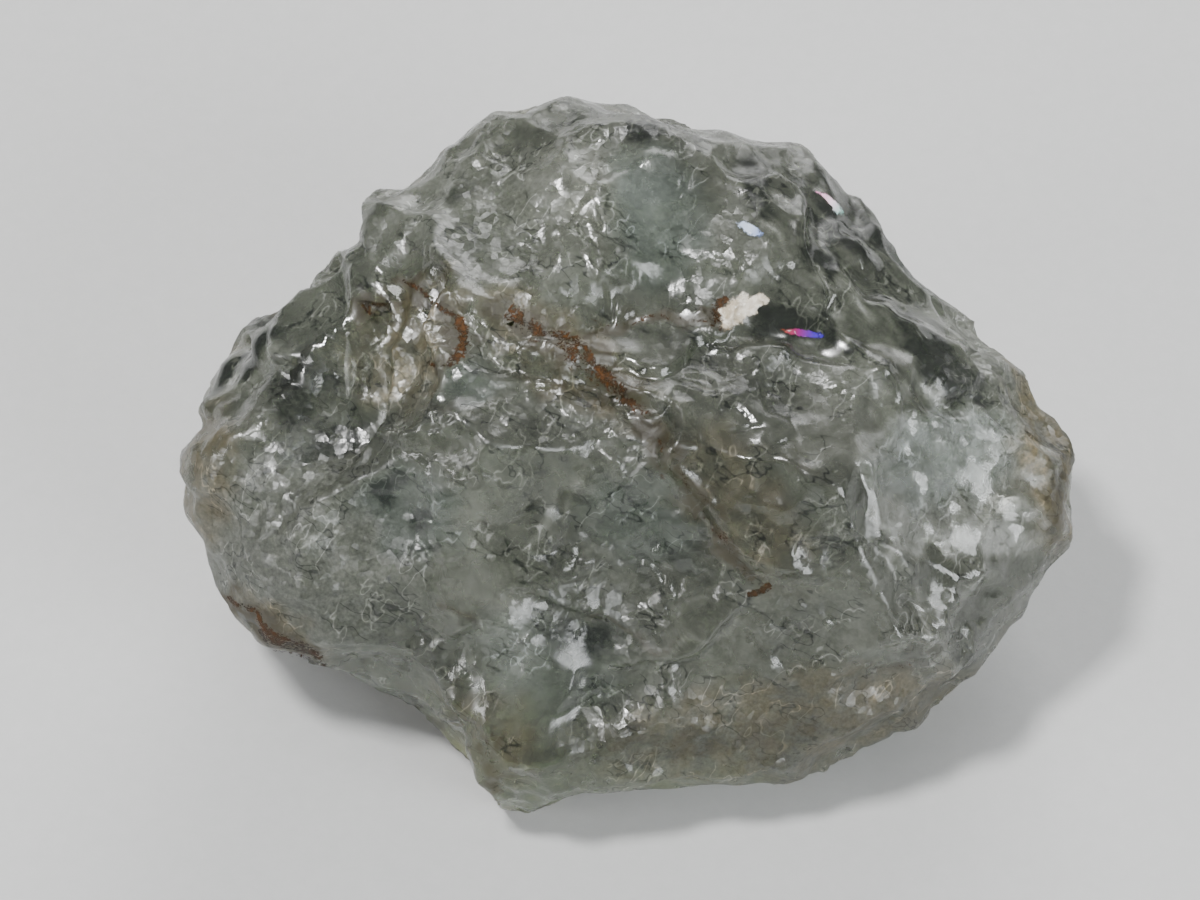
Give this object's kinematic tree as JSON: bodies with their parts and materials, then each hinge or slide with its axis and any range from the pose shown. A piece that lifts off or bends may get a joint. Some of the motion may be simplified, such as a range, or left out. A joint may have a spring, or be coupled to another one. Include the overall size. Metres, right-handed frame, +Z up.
{
  "type": "goshenite crystal",
  "caption": "Rough, broken lump of clear colourless beryl with a leaning broad face and a flat break that it rests on.",
  "frame": {"origin": "on the ground, under the middle of the lump's overall box", "axes": "+Z up, +X along the lump's longest width, and -Y the side that the broad face leans towards"},
  "size_m": [0.0278, 0.0206, 0.0156],
  "materials": {
    "clear_beryl": "glassy breaks and frosted, water-worn skin, with rust stains along the cracks"
  },
  "bodies": {
    "root": {"goshenite_crystal": "clear_beryl"}
  },
  "joints": []
}
